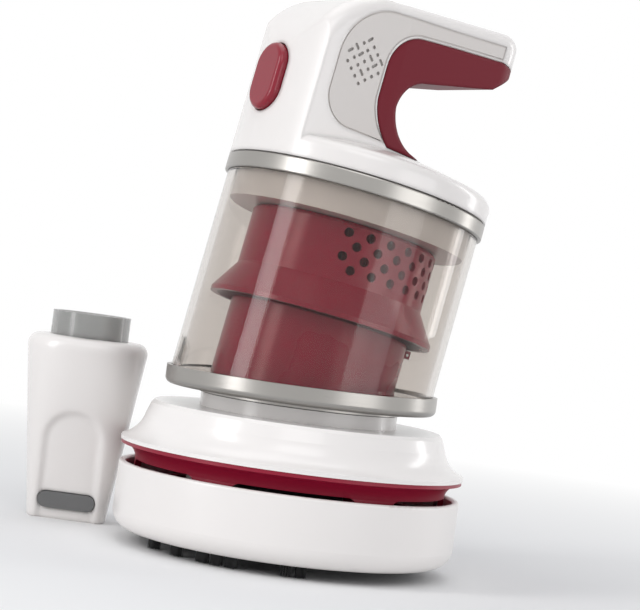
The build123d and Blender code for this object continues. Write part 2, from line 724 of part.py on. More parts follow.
def slab(inset):
    """The upper housing's form, drawn in by the wall's thickness."""
    with BuildPart() as form:
        with BuildSketch(side):
            with BuildLine():
                Line((-BODY_R, drum_z + 2), (-BODY_R, BROW_Z))
                TangentArc((-BODY_R, BROW_Z), (BROW_X, TOP_Z), tangent=(0, 1))
                Line((BROW_X, TOP_Z), (HANDLE_END_X, HANDLE_TOP_Z))
                Line((HANDLE_END_X, HANDLE_TOP_Z), (HANDLE_END_X, GRIP_END_Z + 8))
                Line((HANDLE_END_X, GRIP_END_Z + 8), (HANDLE_END_X - 9.5, GRIP_END_Z))
                Line((HANDLE_END_X - 9.5, GRIP_END_Z), (2.5, GRIP_TOP_Z))
                ThreePointArc((2.5, GRIP_TOP_Z), (-4.4, GRIP_TOP_Z - 3.9), (GRIP_X, GRIP_TOP_Z - 11))
                ThreePointArc((GRIP_X, GRIP_TOP_Z - 11), (-3.8, 24.2), (5.0, 19.2))
                Polyline((5.0, 19.2), (15.0, DOME_Z - 1.5), (15.0, drum_z + 2), (-BODY_R, drum_z + 2))
            make_face()
            if inset:
                offset(amount=-inset, mode=Mode.REPLACE)
        extrude(amount=BODY_R, both=True)
        with BuildSketch(body):
            with BuildLine():
                for hand in (-1, 1):
                    Polyline(
                        (-BODY_R - 5, hand * SLAB_HALF),
                        (SLAB_KINK_X, hand * SLAB_HALF),
                        (HANDLE_END_X, hand * HANDLE_HALF),
                    )
                Line((HANDLE_END_X, -HANDLE_HALF), (HANDLE_END_X, HANDLE_HALF))
                Line((-BODY_R - 5, -SLAB_HALF), (-BODY_R - 5, SLAB_HALF))
            plan = make_face()
            fillet(plan.vertices().sort_by(Axis(ring_point, lean_x))[-2:], HANDLE_CORNER)
            if inset:
                offset(amount=-inset, mode=Mode.REPLACE)
            Circle(BODY_R - inset, mode=Mode.INTERSECT)
        extrude(amount=HANDLE_TOP_Z + 5, mode=Mode.INTERSECT)
        if not inset:
            bulge = BODY_R - (BODY_R**2 - SLAB_HALF**2) ** 0.5  # how far the front swells past the sides
            crown = [edge for edge in form.edges() if on_crown(edge)]
            fillet(crown, min(TOP_SHELL_R, bulge - 0.05))
    return form.part


def drum(inset):
    """The low round foot of the housing with its domed shoulder."""
    with BuildPart() as form:
        with BuildSketch(side):
            with BuildLine():
                Polyline(
                    (0, drum_z - (1 if inset else 0)),
                    (BODY_R - inset, drum_z - (1 if inset else 0)),
                    (BODY_R - inset, SHOULDER_Z - RIM_ROUND),
                )
                ThreePointArc(
                    (BODY_R - inset, SHOULDER_Z - RIM_ROUND),
                    (BODY_R - 1.1 - inset * 0.8, SHOULDER_Z - 0.9 - inset * 0.5),
                    (BODY_R - 4 - inset * 0.5, SHOULDER_Z - inset * 0.8),
                )
                ThreePointArc(
                    (BODY_R - 4 - inset * 0.5, SHOULDER_Z - inset * 0.8),
                    (24, (SHOULDER_Z + DOME_Z) / 2 + 1.4 - inset),
                    (0, DOME_Z - inset),
                )
                Line((0, DOME_Z - inset), (0, drum_z - (1 if inset else 0)))
            make_face()
        revolve(axis=body_axis)
    return form.part


slab_out = slab(0)
slab_in = slab(BODY_WALL)

# Regions of the side view: the red C round the finger gap, and the grey panel between it and the crown
with BuildSketch(side) as grip_region:
    with BuildLine():
        Polyline(
            (BODY_R + 5, SEAM_REAR_Z - 2.2),
            (SEAM_REAR_X, SEAM_REAR_Z),
            (SEAM_MID_X, SEAM_MID_Z),
            (SEAM_TURN_X, SEAM_TURN_Z),
        )
        ThreePointArc(
            (SEAM_TURN_X, SEAM_TURN_Z),
            (SEAM_X + 2.8, SEAM_TURN_Z - 4.6),
            (SEAM_X, SEAM_HIGH),
        )
        Line((SEAM_X, SEAM_HIGH), (SEAM_X, SEAM_LOW))
        ThreePointArc((SEAM_X, SEAM_LOW), (SEAM_X + 2.4, SEAM_LOW - 7), (SEAM_X + 8.5, SILL_Z))
        Polyline(
            (SEAM_X + 8.5, SILL_Z),
            (BODY_R + 5, SILL_Z),
            (BODY_R + 5, SEAM_REAR_Z - 2.2),
        )
    make_face()
with BuildSketch(side) as panel_region:
    with BuildLine():
        Line((PANEL_X, VENT_Z), (PANEL_X, SEAM_LOW - 2))
        ThreePointArc(
            (PANEL_X, SEAM_LOW - 2),
            (PANEL_X + 2.8, SILL_Z + 4.3),
            (PANEL_X + 10.2, SILL_Z + 1),
        )
        Line((PANEL_X + 10.2, SILL_Z + 1), (SEAM_X + 7.5, SILL_Z + 1))
        ThreePointArc(
            (SEAM_X + 7.5, SILL_Z + 1),
            (SEAM_X + 1.7, SEAM_LOW - 6.6),
            (SEAM_X - SEAM, SEAM_LOW),
        )
        Line((SEAM_X - SEAM, SEAM_LOW), (SEAM_X - SEAM, SEAM_HIGH))
        ThreePointArc(
            (SEAM_X - SEAM, SEAM_HIGH),
            (SEAM_X + 2.3, SEAM_TURN_Z - 4.2),
            (SEAM_TURN_X - 0.1, SEAM_TURN_Z + SEAM),
        )
        Polyline(
            (SEAM_TURN_X - 0.1, SEAM_TURN_Z + SEAM),
            (SEAM_MID_X, SEAM_MID_Z + SEAM),
            (SEAM_REAR_X, SEAM_REAR_Z + SEAM),
            (SEAM_REAR_X, CROWN_REAR_Z),
            (CROWN_MID_X, CROWN_MID_Z),
            (PANEL_X + 18.7, CROWN_FRONT_Z),
        )
        ThreePointArc(
            (PANEL_X + 18.7, CROWN_FRONT_Z),
            (PANEL_X + 4.6, CROWN_FRONT_Z - 6.6),
            (PANEL_X, VENT_Z),
        )
    make_face()
with BuildPart() as panel_block:
    with BuildSketch(side):
        add(panel_region.sketch_local)
        offset(amount=-SEAM, mode=Mode.REPLACE)
    extrude(amount=BODY_R, both=True)
with BuildPart() as grip_block:
    with BuildSketch(side):
        add(grip_region.sketch_local)
        offset(amount=-SEAM / 2, mode=Mode.REPLACE)
    extrude(amount=BODY_R, both=True)

# Red grip lining round the finger gap
with BuildPart() as grip_insert:
    add(slab_out)
    add(slab_in, mode=Mode.SUBTRACT)
    add(grip_block.part, mode=Mode.INTERSECT)
keep(grip_insert, "grip_insert")

# Grey side panels, each with a field of vent holes and short slots over the motor bay
vent_spots = []
for across in range(-3, 4):
    for up in range(-4, 5):
        if (across + up) % 2 == 0 and (across / 3.6) ** 2 + (up / 4.6) ** 2 < 1:
            vent_spots.append((VENT_X + across * VENT_PITCH, VENT_Z + up * VENT_PITCH * 0.9))
for hand, name in ((-1, "side_panel_right"), (1, "side_panel_left")):
    with BuildPart() as side_panel:
        add(slab_out)
        add(slab_in, mode=Mode.SUBTRACT)
        add(panel_block.part, mode=Mode.INTERSECT)
        split(bisect_by=Plane.XZ, keep=Keep.BOTTOM if hand > 0 else Keep.TOP)
        with BuildSketch(side):
            for index, spot in enumerate(vent_spots):
                with Locations(spot):
                    if index % 3 == 1:
                        SlotOverall(VENT_PITCH * 1.2, 1.0, rotation=45 if index % 2 else -45)
                    else:
                        Circle(0.6)
        extrude(amount=BODY_R, both=True, mode=Mode.SUBTRACT)
    keep(side_panel, name)

# White housing: shell of drum and slab, open below, with the button's and the charging inlet's holes
with BuildPart() as housing:
    add(slab_out)
    add(drum(0))
    add(slab_in, mode=Mode.SUBTRACT)
    add(drum(BODY_WALL), mode=Mode.SUBTRACT)
    extrude(grip_region.sketch, amount=BODY_R, both=True, mode=Mode.SUBTRACT)
    extrude(panel_region.sketch, amount=BODY_R, both=True, mode=Mode.SUBTRACT)
    with BuildSketch(front_of(-BODY_R - 5)):
        SlotOverall(BUTTON_LENGTH + 0.8, BUTTON_WIDTH + 0.8)
    extrude(amount=12, mode=Mode.SUBTRACT)
    with BuildSketch(rear_of(HANDLE_END_X - BODY_WALL - 1)):
        SlotOverall(PORT_WIDE, PORT_TALL)
    extrude(amount=BODY_WALL + 4, mode=Mode.SUBTRACT)
keep(housing, "housing")

# Charging inlet: a rounded socket behind the handle's end, flanged inside
with BuildPart() as charge_port:
    with BuildSketch(rear_of(HANDLE_END_X - PORT_DEEP)):
        SlotOverall(PORT_WIDE, PORT_TALL)
    extrude(amount=PORT_DEEP - 0.3)
    with BuildSketch(rear_of(HANDLE_END_X - BODY_WALL - 1.5)):
        Rectangle(PORT_WIDE - 0.2, PORT_TALL + 2.4)
    extrude(amount=1.5)
    with BuildSketch(rear_of(HANDLE_END_X - PORT_DEEP + 1)):
        SlotOverall(PORT_WIDE - 0.8, PORT_TALL - 0.8)
    extrude(amount=PORT_DEEP, mode=Mode.SUBTRACT)
    with BuildSketch(rear_of(HANDLE_END_X - PORT_DEEP + 1)):
        Rectangle(PORT_WIDE - 3.2, 0.6)
    extrude(amount=PORT_DEEP - 3)
keep(charge_port, "charge_port")

# Pill-shaped push button: cap through the wall, flange inside and a stem to the switch
with BuildPart() as power_button:
    with BuildSketch(front_of(-BODY_R - BUTTON_PROUD)):
        SlotOverall(BUTTON_LENGTH, BUTTON_WIDTH)
    extrude(amount=FLANGE_X + BODY_R + BUTTON_PROUD)
    fillet(power_button.faces().sort_by(Axis(ring_point, lean_x))[0].edges(), 1.6)
    with BuildSketch(front_of(FLANGE_X)):
        SlotOverall(BUTTON_LENGTH + 2.2, BUTTON_WIDTH + 2.2)
    extrude(amount=1.2)
    with BuildSketch(front_of(FLANGE_X + 1.2)):
        Circle(1.5)
    extrude(amount=0.7)
keep(power_button, "power_button")

# Power switch on its bracket, behind the button
switch_face = FLANGE_X + 1.9 + BUTTON_TRAVEL + 0.2
with BuildPart() as power_switch:
    with BuildSketch(front_of(switch_face)):
        Circle(1.7)
    extrude(amount=0.8)
    with BuildSketch(front_of(switch_face + 0.8)):
        Rectangle(6, 6)
    extrude(amount=1.8)
keep(power_switch, "power_switch")

tray_top = TRAY_Z + TRAY_THICK
with BuildPart() as switch_bracket:
    with BuildSketch(side):
        with Locations((switch_face + 2.6 + 0.7, (tray_top + BUTTON_Z + 8) / 2)):
            Rectangle(1.4, BUTTON_Z + 8 - tray_top)
    extrude(amount=8, both=True)
keep(switch_bracket, "switch_bracket")

# Battery tray on four legs over the deck, with two cells and the control board standing on it
tray_front = 5.5 - body_in
tray_rear = CELL_X + 12
leg_x = 7 - COLLAR_R
with BuildPart() as battery_tray:
    with BuildSketch(body.offset(TRAY_Z)):
        with Locations(((tray_front + tray_rear) / 2, 0)):
            Rectangle(tray_rear - tray_front, 2 * (SLAB_HALF - BODY_WALL) - 0.8)
    extrude(amount=TRAY_THICK)
    with BuildSketch(body.offset(DECK_Z + DECK_THICK)):
        with Locations((leg_x, 11), (leg_x, -11), (leg_x + 11, 14.5), (leg_x + 11, -14.5)):
            Circle(2)
    extrude(amount=TRAY_Z - DECK_Z - DECK_THICK)
keep(battery_tray, "battery_tray")

with BuildPart() as battery_cells:
    with BuildSketch(body.offset(tray_top)):
        with Locations((CELL_X, CELL_R + 0.3), (CELL_X, -CELL_R - 0.3)):
            Circle(CELL_R)
    extrude(amount=CELL_LENGTH)
keep(battery_cells, "battery_cells")

with BuildPart() as control_board:
    with BuildSketch(side):
        with Locations((CELL_X + CELL_R + 1.4, tray_top + BOARD_TALL / 2)):
            Rectangle(BOARD_THICK, BOARD_TALL)
    extrude(amount=BOARD_WIDE / 2, both=True)
keep(control_board, "control_board")

# The crevice nozzle, standing on its mouth beside the head

stand = Plane(
    (NOZZLE_X, NOZZLE_Y, 0),
    x_dir=(cos(radians(NOZZLE_TURN)), sin(radians(NOZZLE_TURN)), 0),
)
front_face = Plane(stand.origin, x_dir=stand.x_dir, z_dir=-stand.y_dir)

# Tapered white duckbill with a thumb recess and a window above its mouth
with BuildPart() as nozzle_body:
    with BuildSketch(stand):
        RectangleRounded(NOZZLE_TIP_W, NOZZLE_TIP_D, NOZZLE_TIP_D * 0.32)
    with BuildSketch(stand.offset(NOZZLE_LENGTH - NOZZLE_NECK)):
        RectangleRounded(NOZZLE_TOP_W, NOZZLE_TOP_D, NOZZLE_TOP_D * 0.46)
    loft()
    fillet(nozzle_body.faces().sort_by(Axis.Z)[-1].edges(), 3.0)
    with BuildSketch(stand) as mouth_low:
        RectangleRounded(NOZZLE_TIP_W - 2 * NOZZLE_WALL, NOZZLE_TIP_D - 2 * NOZZLE_WALL, 3)
    with BuildSketch(stand.offset(NOZZLE_LENGTH - NOZZLE_NECK - NOZZLE_WALL)) as mouth_high:
        Circle(NOZZLE_NECK_R - NOZZLE_NECK_WALL)
    loft([mouth_low.sketch.face(), mouth_high.sketch.face()], mode=Mode.SUBTRACT)
    with BuildSketch(stand.offset(NOZZLE_LENGTH - NOZZLE_NECK - 4)):
        Circle(NOZZLE_NECK_R - 0.4)
    extrude(amount=5, mode=Mode.SUBTRACT)
    with BuildSketch(front_face.offset(NOZZLE_TIP_D / 2 - 3)):
        with Locations((0, WINDOW_H + 1)):
            SlotOverall(WINDOW_W, WINDOW_H)
    extrude(amount=8, mode=Mode.SUBTRACT)
keep(nozzle_body, "nozzle_body")

# Grey window in the nozzle's front, over the mouth
with BuildPart() as nozzle_window:
    with BuildSketch(front_face.offset(NOZZLE_TIP_D / 2 - 1.2)):
        with Locations((0, WINDOW_H + 1)):
            SlotOverall(WINDOW_W, WINDOW_H)
    extrude(amount=1.4)
keep(nozzle_window, "nozzle_window")

# Clear grey neck that plugs into the head's inlet
with BuildPart() as nozzle_neck:
    with BuildSketch(stand.offset(NOZZLE_LENGTH - NOZZLE_NECK)):
        Circle(NOZZLE_NECK_R)
    extrude(amount=NOZZLE_NECK)
    with BuildSketch(stand.offset(NOZZLE_LENGTH - NOZZLE_NECK - 4)):
        Circle(NOZZLE_NECK_R - 0.4)
    extrude(amount=4)
    with BuildSketch(stand.offset(NOZZLE_LENGTH - NOZZLE_NECK - 4)):
        Circle(NOZZLE_NECK_R - NOZZLE_NECK_WALL)
    extrude(amount=NOZZLE_NECK + 4, mode=Mode.SUBTRACT)
keep(nozzle_neck, "nozzle_neck")
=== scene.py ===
"""Desk vacuum cleaner: materials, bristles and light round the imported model, in metres."""
import cmath
import math
import random

import bmesh
import bpy
from mathutils import Matrix, Vector


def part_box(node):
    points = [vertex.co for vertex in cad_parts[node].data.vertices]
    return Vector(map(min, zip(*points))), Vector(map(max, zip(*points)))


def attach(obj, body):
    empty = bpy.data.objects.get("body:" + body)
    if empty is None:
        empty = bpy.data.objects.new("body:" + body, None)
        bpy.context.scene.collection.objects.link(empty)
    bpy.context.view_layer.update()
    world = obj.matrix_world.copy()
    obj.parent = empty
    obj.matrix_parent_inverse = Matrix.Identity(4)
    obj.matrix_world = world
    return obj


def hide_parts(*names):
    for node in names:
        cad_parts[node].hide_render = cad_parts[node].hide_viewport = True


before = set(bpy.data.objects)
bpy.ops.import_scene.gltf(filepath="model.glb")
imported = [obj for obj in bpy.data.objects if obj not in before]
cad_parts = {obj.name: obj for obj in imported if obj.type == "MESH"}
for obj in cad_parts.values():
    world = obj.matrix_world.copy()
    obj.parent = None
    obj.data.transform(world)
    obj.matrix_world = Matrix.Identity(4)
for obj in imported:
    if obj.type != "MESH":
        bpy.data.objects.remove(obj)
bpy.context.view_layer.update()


# Camera: a long lens from the front left, level with the cup's lower half. It is rolled, so
# that the unit leans to the right in the picture, as in a product shot.
def add_object(name, data):
    """Adds an object with its data to the scene."""
    thing = bpy.data.objects.new(name, data)
    bpy.context.scene.collection.objects.link(thing)
    return thing


view_turn = math.radians(-32.5)
view_rise = math.radians(0.5)
view_roll = math.radians(7.6)
view_distance = 0.70
view_aim = Vector((0.0, 0.0, 0.067))
shift_right, shift_up = 0.0044, 0.0148
back = Vector((
    math.sin(view_turn) * math.cos(view_rise),
    -math.cos(view_turn) * math.cos(view_rise),
    math.sin(view_rise),
))
flat_right = Vector((math.cos(view_turn), math.sin(view_turn), 0.0))
flat_up = back.cross(flat_right)
right = flat_right * math.cos(view_roll) + flat_up * math.sin(view_roll)
up = flat_up * math.cos(view_roll) - flat_right * math.sin(view_roll)
stand = view_aim + back * view_distance + right * shift_right + up * shift_up
camera = add_object("camera", bpy.data.cameras.new("camera"))
camera.data.lens = 122.4
camera.data.clip_end = 20.0
camera.matrix_world = Matrix((
    (right.x, up.x, back.x, stand.x),
    (right.y, up.y, back.y, stand.y),
    (right.z, up.z, back.z, stand.z),
    (0.0, 0.0, 0.0, 1.0),
))
bpy.context.scene.camera = camera
bpy.context.scene.view_settings.view_transform = "Standard"


# Floor: a matt white table top that fades to plain white away from the object, so that no
# horizon shows. Only rays that see the background get that white, so it adds no light.
def set_sockets(node, values):
    """Sets a shader node's sockets, given by name or number."""
    for socket, value in values.items():
        node.inputs[socket].default_value = value


def add_node(tree, kind, values=None, operation=None):
    """Adds one shader node, with its operation and the values of its sockets."""
    node = tree.nodes.new("ShaderNode" + kind)
    if operation:
        node.operation = operation
    set_sockets(node, values or {})
    return node


def wire(tree, *joins):
    """Joins nodes: each join gives a node and its output, then a node and its input."""
    for source, output, target, entry in joins:
        tree.links.new(source.outputs[output], target.inputs[entry])


def background_rays(tree):
    """A node that is 1 for rays that see the background, 0 for those that light the object."""
    path = add_node(tree, "LightPath")
    seen = add_node(tree, "Math", operation="MAXIMUM")
    either = add_node(tree, "Math", operation="MAXIMUM")
    wire(tree,
         (path, "Is Camera Ray", either, 0),
         (path, "Is Glossy Ray", either, 1),
         (either, "Value", seen, 0),
         (path, "Is Transmission Ray", seen, 1))
    return seen


floor_size = 12.0
fade_from, fade_to = 0.10, 0.55
bpy.ops.object.select_all(action="DESELECT")
bpy.ops.mesh.primitive_plane_add(size=floor_size)
floor = bpy.context.object
floor.name = "floor"
table_white = bpy.data.materials.new("floor")
table_white.use_nodes = True
tree = table_white.node_tree
tree.nodes.clear()
where = add_node(tree, "TexCoord")
reach = add_node(tree, "VectorMath", operation="LENGTH")
fade = add_node(tree, "MapRange", {"From Min": fade_from, "From Max": fade_to})
shown = add_node(tree, "Math", operation="MULTIPLY")
matt = add_node(tree, "BsdfDiffuse", {"Color": (0.86, 0.86, 0.86, 1)})
glow = add_node(tree, "Emission", {"Color": (1, 1, 1, 1), "Strength": 1.0})
mixed = add_node(tree, "MixShader")
wire(tree,
     (where, "Object", reach, 0),
     (reach, "Value", fade, "Value"),
     (fade, "Result", shown, 0),
     (background_rays(tree), "Value", shown, 1),
     (shown, "Value", mixed, "Fac"),
     (matt, "BSDF", mixed, 1),
     (glow, "Emission", mixed, 2),
     (mixed, "Shader", add_node(tree, "OutputMaterial"), "Surface"))
floor.data.materials.append(table_white)

# Room: a white studio, seen as plain white behind the object, in its gloss and through the
# cup. The light that it sends to the object is an even, slightly cool fill.
fill_strength = 0.46
studio = bpy.data.worlds.new("studio")
bpy.context.scene.world = studio
studio.use_nodes = True
tree = studio.node_tree
tree.nodes.clear()
fill = add_node(tree, "Background", {"Color": (0.93, 0.95, 1.0, 1), "Strength": fill_strength})
white = add_node(tree, "Background", {"Color": (1, 1, 1, 1), "Strength": 1.0})
mixed = add_node(tree, "MixShader")
wire(tree,
     (background_rays(tree), "Value", mixed, "Fac"),
     (fill, "Background", mixed, 1),
     (white, "Background", mixed, 2),
     (mixed, "Shader", add_node(tree, "OutputWorld"), "Surface"))


# Softboxes: five framed cloth panels on stands round the table. The tall, narrow ones at the
# sides draw the long upright highlights in the cup and the shells.
def softbox(name, where, aim_height, wide, high, power):
    """A rectangular studio light that faces the object's axis at some height."""
    lamp = add_object(name, bpy.data.lights.new(name, "AREA"))
    lamp.data.shape = "RECTANGLE"
    lamp.data.size = wide
    lamp.data.size_y = high
    lamp.data.energy = power
    lamp.location = where
    facing = Vector((0, 0, aim_height)) - Vector(where)
    lamp.rotation_euler = facing.to_track_quat("-Z", "Y").to_euler()


softbox("key_left", (-0.80, -0.03, 0.30), 0.10, 0.22, 0.80, 3.4)
softbox("front_high", (-0.30, -0.60, 0.75), 0.10, 0.50, 0.50, 1.45)
softbox("fill_right", (0.83, -0.12, 0.25), 0.10, 0.16, 0.70, 1.4)
softbox("front_right", (0.25, -0.80, 0.10), 0.06, 0.50, 0.45, 1.6)
softbox("top", (0.0, 0.10, 0.80), 0.10, 0.60, 0.60, 1.3)


# Bumper skirt: the soft white band round the foot of the head, with a rounded lower edge. It
# is moulded in one piece with a satin skin, and its inward lip lies under the slotted ring.
def plastic(name, colour, rough, grain=0.0006, bump=0.04, coat=0.0, shine=0.5, vary=0.03):
    """Moulded plastic: a soft colour drift, an uneven gloss and a fine surface grain."""
    look = bpy.data.materials.new(name)
    look.use_nodes = True
    tree = look.node_tree
    shader = tree.nodes["Principled BSDF"]
    set_sockets(shader, {"Coat Weight": coat, "Coat Roughness": 0.08,
                         "Specular IOR Level": shine})
    where = add_node(tree, "TexCoord")
    drift = add_node(tree, "TexNoise", {"Scale": 22.0, "Detail": 3.0})
    tone = add_node(tree, "MapRange", {"To Min": 1.0 - vary, "To Max": 1.0})
    shade = add_node(tree, "VectorMath", {0: colour}, operation="SCALE")
    gloss = add_node(tree, "MapRange", {"To Min": rough * 0.85, "To Max": rough * 1.15})
    fine = add_node(tree, "TexNoise", {"Scale": 1.0 / grain, "Detail": 2.0})
    relief = add_node(tree, "Bump", {"Strength": bump, "Distance": grain * 0.2})
    wire(tree,
         (where, "Object", drift, "Vector"),
         (where, "Object", fine, "Vector"),
         (drift, "Fac", tone, "Value"),
         (drift, "Fac", gloss, "Value"),
         (tone, "Result", shade, "Scale"),
         (shade, "Vector", shader, "Base Color"),
         (gloss, "Result", shader, "Roughness"),
         (fine, "Fac", relief, "Height"),
         (relief, "Normal", shader, "Normal"))
    return look


def dress(look, *names):
    """Gives every face of these CAD pieces one material."""
    for name in names:
        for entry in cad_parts[name].material_slots:
            entry.material = look


white_satin = plastic("white_satin", (0.84, 0.81, 0.79), 0.32, coat=0.15)
dress(white_satin, "bumper_skirt")

# Slotted ring: the dark red band that shows between skirt and cover, with air slots through
# it. A hard satin moulding that flares at its top to carry the cover.
red_satin = plastic("red_satin", (0.27, 0.006, 0.028), 0.36, bump=0.05, shine=0.35)
dress(red_satin, "slotted_ring")

# Head floor: the plate with the suction mouth, and the tube from it up to the socket. One
# dark grey moulding, screwed to the cover's posts from below.
dark_plastic = plastic("dark_plastic", (0.03, 0.03, 0.032), 0.5)
dress(dark_plastic, "mouth_plate")

# Bristle strips: six curved rubbery backings glued under the head floor, each set with tufts
# of black nylon. A tuft is a bundle of tapered strands that splay a little towards their tips
# and are cut slightly unevenly.
tuft_angles = (-62.0, -45.0, -31.0, -24.5, -18.0, 4.0, 10.0)
strip_sets = (tuft_angles[0:2], tuft_angles[2:5], tuft_angles[5:7])
front_middle = 237.0
strip_end = 3.2
backing_in, backing_out = 0.0415, 0.0465
backing_low, backing_high = 0.0049, 0.0065
backing_steps = 8
tuft_r, tuft_half, tuft_rows = 0.044, 0.0013, 8
tuft_splay = 1.12
strand_r, strand_sides = 0.00011, 6
strand_taper = ((0.55, 0.95), (0.35, 0.79), (0.10, 0.533))
strand_sunk = 0.0002
strand_stray = 0.00006
cut_uneven = 0.0002
merge_within = 1e-6
sharp_from = math.radians(40)
nylon = plastic("nylon", (0.012, 0.012, 0.013), 0.42, bump=0.0)
rubber = plastic("rubber", (0.02, 0.02, 0.021), 0.7)


def start_piece(name, add, **size):
    """Starts a piece from one primitive, with nothing else selected, and opens it to edit."""
    bpy.ops.object.select_all(action="DESELECT")
    add(**size)
    piece = bpy.context.object
    piece.name = name
    piece.data.name = name
    bpy.ops.object.mode_set(mode="EDIT")
    return piece


def end_piece(piece, look, place=None):
    """Ends the editing: the place goes into the mesh, and the faces point outwards."""
    bpy.ops.object.mode_set(mode="OBJECT")
    bpy.ops.object.transform_apply(location=True, rotation=True, scale=True)
    if place:
        piece.data.transform(place)
    bpy.ops.object.mode_set(mode="EDIT")
    bpy.ops.mesh.select_all(action="SELECT")
    bpy.ops.mesh.remove_doubles(threshold=merge_within)
    bpy.ops.mesh.normals_make_consistent(inside=False)
    bpy.ops.object.mode_set(mode="OBJECT")
    bpy.ops.object.shade_smooth_by_angle(angle=sharp_from)
    piece.data.materials.append(look)


def strand_place(foot, tip):
    """Stretches the one strand, which hangs down by 1, from its foot to its tip."""
    run = tip - foot
    return Matrix((
        (1, 0, -run.x, foot.x),
        (0, 1, -run.y, foot.y),
        (0, 0, -run.z, foot.z),
        (0, 0, 0, 1),
    ))


def backing_bar(name, first, last):
    """A curved bar between two angles in degrees, spun from its end section."""
    turn = math.radians(last)
    middle_r = (backing_in + backing_out) / 2
    bar = start_piece(
        name, bpy.ops.mesh.primitive_plane_add, size=1, rotation=(math.pi / 2, 0, turn),
        location=(middle_r * math.cos(turn), middle_r * math.sin(turn),
                  (backing_low + backing_high) / 2))
    bpy.ops.transform.resize(
        orient_type="LOCAL", value=(backing_out - backing_in, backing_high - backing_low, 1))
    bpy.ops.mesh.spin(steps=backing_steps, angle=math.radians(last - first),
                      center=(0, 0, 0), axis=(0, 0, 1))
    end_piece(bar, rubber)
    return bar


one_strand = start_piece("one_strand", bpy.ops.mesh.primitive_circle_add,
                         vertices=strand_sides, radius=strand_r, fill_type="NGON")
for drop, narrow in strand_taper:
    bpy.ops.mesh.extrude_region_move(TRANSFORM_OT_translate={"value": (0, 0, -drop)})
    bpy.ops.transform.resize(value=(narrow, narrow, 1))
end_piece(one_strand, nylon)

random.seed(4)
tuft_spots = [(2 * k / (tuft_rows - 1) - 1) * tuft_half for k in range(tuft_rows)]
for row_name, row_middle in (("front", front_middle), ("rear", front_middle + 180.0)):
    for number, angles in enumerate(strip_sets, 1):
        node = f"bristles_{row_name}_{number}"
        brush = backing_bar(f"{node}_strands", row_middle + angles[0] - strip_end,
                            row_middle + angles[-1] + strip_end)
        for angle in angles:
            turn = math.radians(row_middle + angle)
            outwards = Vector((math.cos(turn), math.sin(turn), 0))
            along = Vector((-outwards.y, outwards.x, 0))
            for spot_out in tuft_spots:
                for spot_along in tuft_spots:
                    u = spot_out + random.uniform(-1, 1) * strand_stray
                    v = spot_along + random.uniform(-1, 1) * strand_stray
                    foot = outwards * (tuft_r + u) + along * v
                    foot.z = backing_low + strand_sunk
                    tip = outwards * (tuft_r + u * tuft_splay) + along * v * tuft_splay
                    tip.z = random.uniform(0.0, cut_uneven)
                    strand = add_object("strand", one_strand.data.copy())
                    strand.data.transform(strand_place(foot, tip))
                    strand.select_set(True)
        bpy.context.view_layer.objects.active = brush
        bpy.ops.object.join()
        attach(brush, "head")
        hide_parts(node)
bpy.data.objects.remove(one_strand)

# Head cover: the white upper shell of the head, with the neck, the inlet's socket and three
# screw posts in one moulding. Hard plastic, polished in the mould, held on by the screws.
white_gloss = plastic("white_gloss", (0.85, 0.82, 0.80), 0.24, bump=0.03, coat=0.3)
dress(white_gloss, "head_cover")


# Floor screws: three pan-head screws of zinc plated steel with a cross recess, turned up
# through the head floor into the cover's posts. They are all that holds the floor.
def metal(name, colour, rough, stretch, bump=0.03):
    """Metal with fine marks along one direction; stretch scales them on each axis."""
    look = bpy.data.materials.new(name)
    look.use_nodes = True
    tree = look.node_tree
    shader = tree.nodes["Principled BSDF"]
    set_sockets(shader, {"Metallic": 1.0, "Base Color": (*colour, 1)})
    where = add_node(tree, "TexCoord")
    squeeze = add_node(tree, "VectorMath", {1: stretch}, operation="MULTIPLY")
    marks = add_node(tree, "TexNoise", {"Scale": 60.0, "Detail": 4.0})
    gloss = add_node(tree, "MapRange", {"To Min": rough * 0.8, "To Max": rough * 1.25})
    relief = add_node(tree, "Bump", {"Strength": bump, "Distance": 0.0001})
    wire(tree,
         (where, "Object", squeeze, 0),
         (squeeze, "Vector", marks, "Vector"),
         (marks, "Fac", gloss, "Value"),
         (gloss, "Result", shader, "Roughness"),
         (marks, "Fac", relief, "Height"),
         (relief, "Normal", shader, "Normal"))
    return look


steel = metal("steel", (0.56, 0.56, 0.57), 0.28, (1, 1, 12))
dress(steel, "head_screws")

# Trim rings: one under the cup, into which its foot sinks, and one round its top edge, which
# twists to lock it. Both are turned from aluminium and brushed round, with fine level marks.
brushed = metal("brushed", (0.35, 0.337, 0.32), 0.30, (0.4, 0.4, 24), bump=0.10)
dress(brushed, "base_ring", "lock_ring")

# Inlet riser: the red chamber over the cup's floor, with a spigot down through it and a flat
# valve seat at its back. A glossy moulding, pushed in from above.
red_gloss = plastic("red_glossy", (0.34, 0.005, 0.036), 0.28, bump=0.01, coat=0.15,
                    shine=0.35, vary=0.01)
dress(red_gloss, "inlet_riser")

# Seal and valve: a rubber ring in the spigot's groove, and a soft rubber flap that hangs on
# a steel pin behind the riser's window, so that dust can't fall back.
dress(rubber, "inlet_seal", "flap_valve")
dress(steel, "flap_pin")

# Dust cup: a clear tube with a level floor, injection moulded from smoky plastic. It is thick
# enough to darken what shows through it, and its top edge stands inside the upper ring.
smoky = bpy.data.materials.new("smoky_clear")
smoky.use_nodes = True
set_sockets(smoky.node_tree.nodes["Principled BSDF"], {
    "Base Color": (0.705, 0.67, 0.64, 1),
    "Transmission Weight": 1.0,
    "Roughness": 0.015,
    "IOR": 1.30,
})
dress(smoky, "dust_cup")

